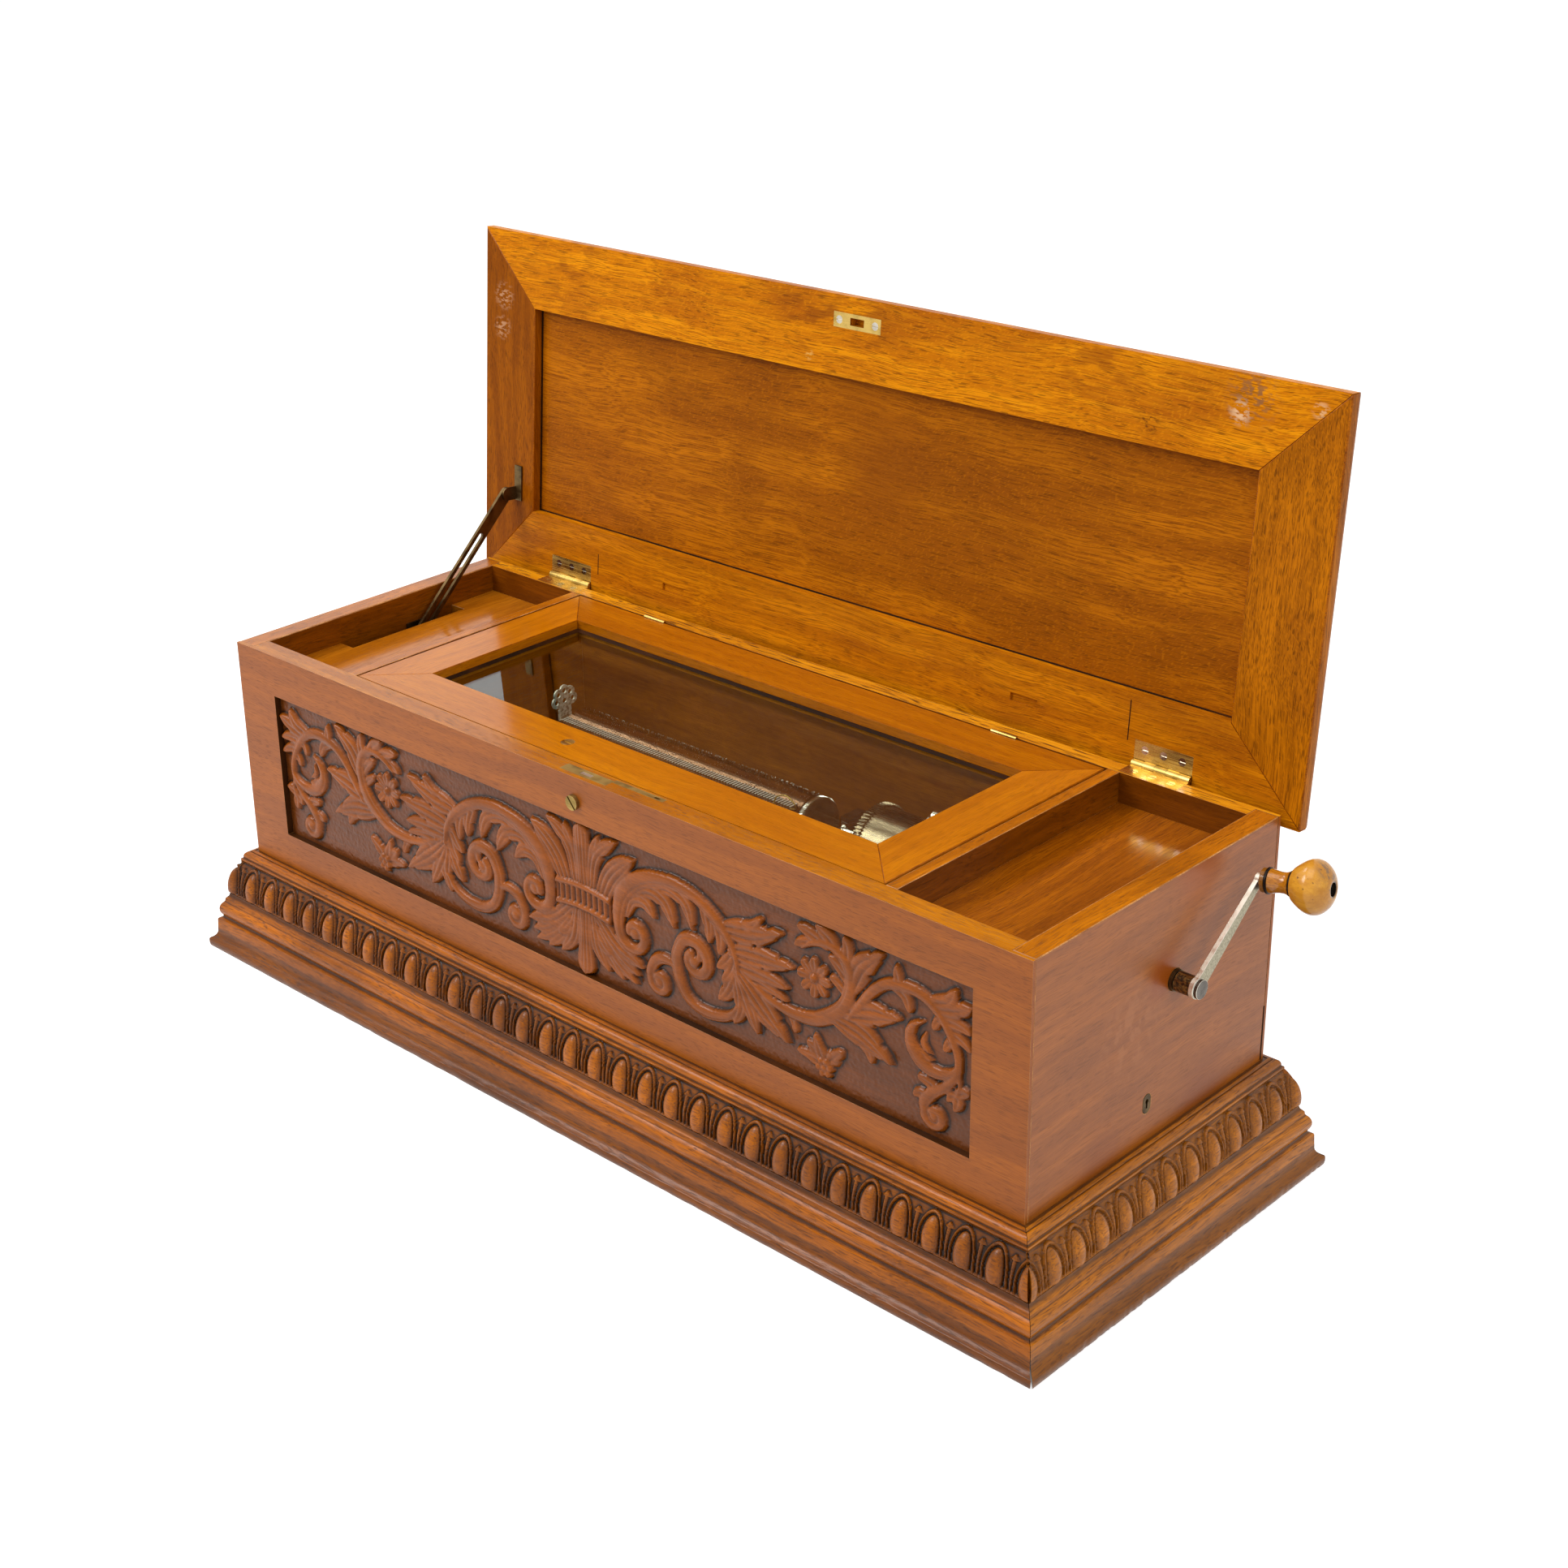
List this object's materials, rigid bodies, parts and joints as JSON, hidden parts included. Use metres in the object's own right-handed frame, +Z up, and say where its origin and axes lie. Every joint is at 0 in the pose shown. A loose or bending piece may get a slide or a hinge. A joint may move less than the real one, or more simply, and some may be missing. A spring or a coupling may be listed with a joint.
{
  "type": "cylinder music box",
  "caption": "Table-top cylinder music box in a carved oak case with hinged lid, glass inner lid, comb-and-cylinder movement and winding crank.",
  "frame": {"origin": "middle of the case's underside, on the surface it stands on", "axes": "+X to the right along the carved front, +Y to the back, +Z up"},
  "size_m": [0.9485, 0.3725, 0.5882],
  "materials": {
    "oak_front": "satin",
    "oak_carved": "satin",
    "oak_case": "satin",
    "oak_plinth": "satin",
    "oak_inside": "gloss",
    "oak_lid": "gloss",
    "oak_lid_panel": "gloss",
    "spruce": "matte",
    "brass": "satin",
    "bronze": "satin",
    "steel": "brushed",
    "nickel": "polished",
    "cast_bed": "satin",
    "glass": "clear",
    "turned_wood": "satin"
  },
  "bodies": {
    "case": {"case_front": "oak_front", "carved_panel": "oak_carved", "case_back": "oak_case", "case_left_side": "oak_case", "case_right_side": "oak_case", "case_bottom": "spruce", "plinth_front": "oak_plinth", "plinth_back": "oak_plinth", "plinth_sides": "oak_plinth", "partitions": "oak_inside", "tray_floor_left": "oak_inside", "tray_floor_right": "oak_inside", "cleats": "spruce", "soundboard": "spruce", "glass_lid_ledges": "spruce", "hinge_case_leaves": "brass", "hinge_pins": "brass", "hinge_case_screws": "brass", "lid_lock": "brass", "keyhole_escutcheon": "bronze", "crank_bush": "bronze", "stay_stud": "bronze", "glass_hinge_wall_leaves": "brass", "bedplate": "cast_bed", "movement_screws": "steel", "left_bracket": "nickel", "right_bracket": "nickel", "winding_bracket": "nickel", "comb_base": "cast_bed", "comb": "steel", "tune_plate": "nickel", "governor_frame": "nickel"},
    "lid": {"lid_front_rail": "oak_lid", "lid_rear_rail": "oak_lid", "lid_stiles": "oak_lid", "lid_panel": "oak_lid_panel", "hinge_lid_leaves": "brass", "lid_screws": "brass", "strike_plate": "brass", "stay_bracket": "bronze"},
    "stay": {"stay_arm": "bronze"},
    "glass_lid": {"glass_lid_rails": "oak_inside", "glass_pane": "glass", "glass_hinge_frame_leaves": "brass"},
    "glass_catch": {"glass_lid_catch": "brass"},
    "crank": {"crank_shaft": "steel", "crank_arm": "steel"},
    "knob": {"crank_knob": "turned_wood"},
    "winding_arbor": {"barrel_arbor": "steel"},
    "cylinder": {"cylinder_tube": "nickel", "cylinder_arbor": "nickel"},
    "barrel": {"spring_barrel": "nickel", "mainspring": "steel"},
    "governor": {"governor_wheel": "steel"},
    "fan": {"fan_screw": "steel"},
    "lock_cylinder": {"lock_barrel": "brass"},
    "lock_tongue": {"lock_bolt": "steel"},
    "start_lever_arm": {"start_lever": "nickel"},
    "change_lever_arm": {"change_lever": "nickel"},
    "ratchet_click": {"click": "steel"}
  },
  "joints": [
    {"name": "lid_hinge", "type": "hinge", "parent": "case", "child": "lid", "pos_m": [0, 0.148, 0.28925], "axis": [-1, 0, 0], "range_deg": [-94.6, 0]},
    {"name": "stay_pivot", "type": "hinge", "parent": "lid", "child": "stay", "pos_m": [-0.393, 0.1433, 0.35554], "axis": [-1, 0, 0], "range_deg": [0, 109.52]},
    {"name": "glass_lid_hinge", "type": "hinge", "parent": "case", "child": "glass_lid", "pos_m": [0, 0.127, 0.2892], "axis": [-1, 0, 0], "range_deg": [0, 80]},
    {"name": "glass_catch_turn", "type": "hinge", "parent": "glass_lid", "child": "glass_catch", "pos_m": [-0.052, -0.101, 0.289], "axis": [0, 0, -1], "range_deg": [0, 90]},
    {"name": "crank_turn", "type": "hinge", "parent": "case", "child": "crank", "pos_m": [0.423, 0.0196, 0.20904], "axis": [1, 0, 0], "continuous": true},
    {"name": "knob_spin", "type": "hinge", "parent": "crank", "child": "knob", "pos_m": [0.439, 0.09015, 0.26476], "axis": [0.9803, 0.1551, 0.1225], "continuous": true},
    {"name": "arbor_turn", "type": "hinge", "parent": "case", "child": "winding_arbor", "pos_m": [0.202, 0.05984, 0.197], "axis": [1, 0, 0], "continuous": true},
    {"name": "cylinder_spin", "type": "hinge", "parent": "case", "child": "cylinder", "pos_m": [0, 0.023, 0.215], "axis": [1, 0, 0], "continuous": true},
    {"name": "barrel_turn", "type": "hinge", "parent": "case", "child": "barrel", "pos_m": [0.1185, 0.05984, 0.197], "axis": [1, 0, 0], "continuous": true},
    {"name": "governor_turn", "type": "hinge", "parent": "case", "child": "governor", "pos_m": [0.1, 0.03725, 0.19032], "axis": [1, 0, 0], "continuous": true},
    {"name": "fan_spin", "type": "hinge", "parent": "case", "child": "fan", "pos_m": [0.1, 0.05045, 0.2035], "axis": [0, 0, 1], "continuous": true},
    {"name": "lock_turn", "type": "hinge", "parent": "case", "child": "lock_cylinder", "pos_m": [-0.0026, -0.142, 0.2684], "axis": [0, 1, 0], "range_deg": [0, 90]},
    {"name": "lock_bolt_slide", "type": "slide", "parent": "case", "child": "lock_tongue", "axis": [0, 0, 1], "range_m": [0, 0.005]},
    {"name": "start_lever_turn", "type": "hinge", "parent": "case", "child": "start_lever_arm", "pos_m": [0.15, -0.062, 0.158], "axis": [0, 0, 1], "range_deg": [-12, 12]},
    {"name": "change_lever_turn", "type": "hinge", "parent": "case", "child": "change_lever_arm", "pos_m": [0.192, -0.062, 0.158], "axis": [0, 0, 1], "range_deg": [-12, 12]},
    {"name": "click_lift", "type": "hinge", "parent": "case", "child": "ratchet_click", "pos_m": [0.184, 0.0354, 0.19148], "axis": [1, 0, 0], "range_deg": [0, 10]}
  ],
  "couplings": [
    {"joint": "stay_pivot", "follows": "lid_hinge", "ratio": -1.1556},
    {"joint": "arbor_turn", "follows": "crank_turn", "ratio": -0.5},
    {"joint": "barrel_turn", "follows": "cylinder_spin", "ratio": -0.20588},
    {"joint": "governor_turn", "follows": "cylinder_spin", "ratio": -8.5},
    {"joint": "fan_spin", "follows": "cylinder_spin", "ratio": 204},
    {"joint": "lock_bolt_slide", "follows": "lock_turn", "m_per_rad": 0.0031831}
  ]
}
